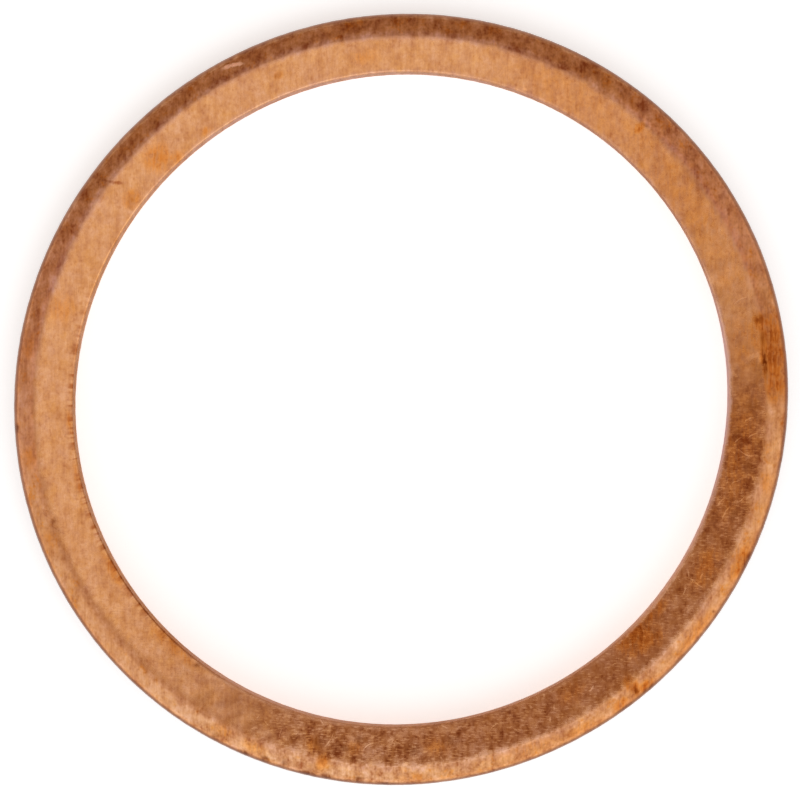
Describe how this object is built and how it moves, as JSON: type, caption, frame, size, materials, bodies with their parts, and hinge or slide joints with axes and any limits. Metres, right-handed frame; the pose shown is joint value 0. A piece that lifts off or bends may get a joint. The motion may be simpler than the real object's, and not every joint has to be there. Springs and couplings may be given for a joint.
{
  "type": "sealing ring",
  "caption": "Solid copper sealing ring, stamped from rolled sheet, with a dished face, a narrow crest and a rounded shoulder, for sealing under a threaded plug.",
  "frame": {"origin": "centre of the ring at its flat seat, on the surface that it lies on", "axes": "+Z along the bore axis, from the flat seat up to the dished face and its crest; the ring's slightly longer axis lies 40 degrees from +X towards +Y"},
  "size_m": [0.024, 0.0238, 0.0015],
  "materials": {
    "rolled_copper": "satin rolled copper, lightly tarnished, with fine straight rolling grain across the faces"
  },
  "bodies": {
    "root": {"sealing_ring": "rolled_copper"}
  },
  "joints": []
}
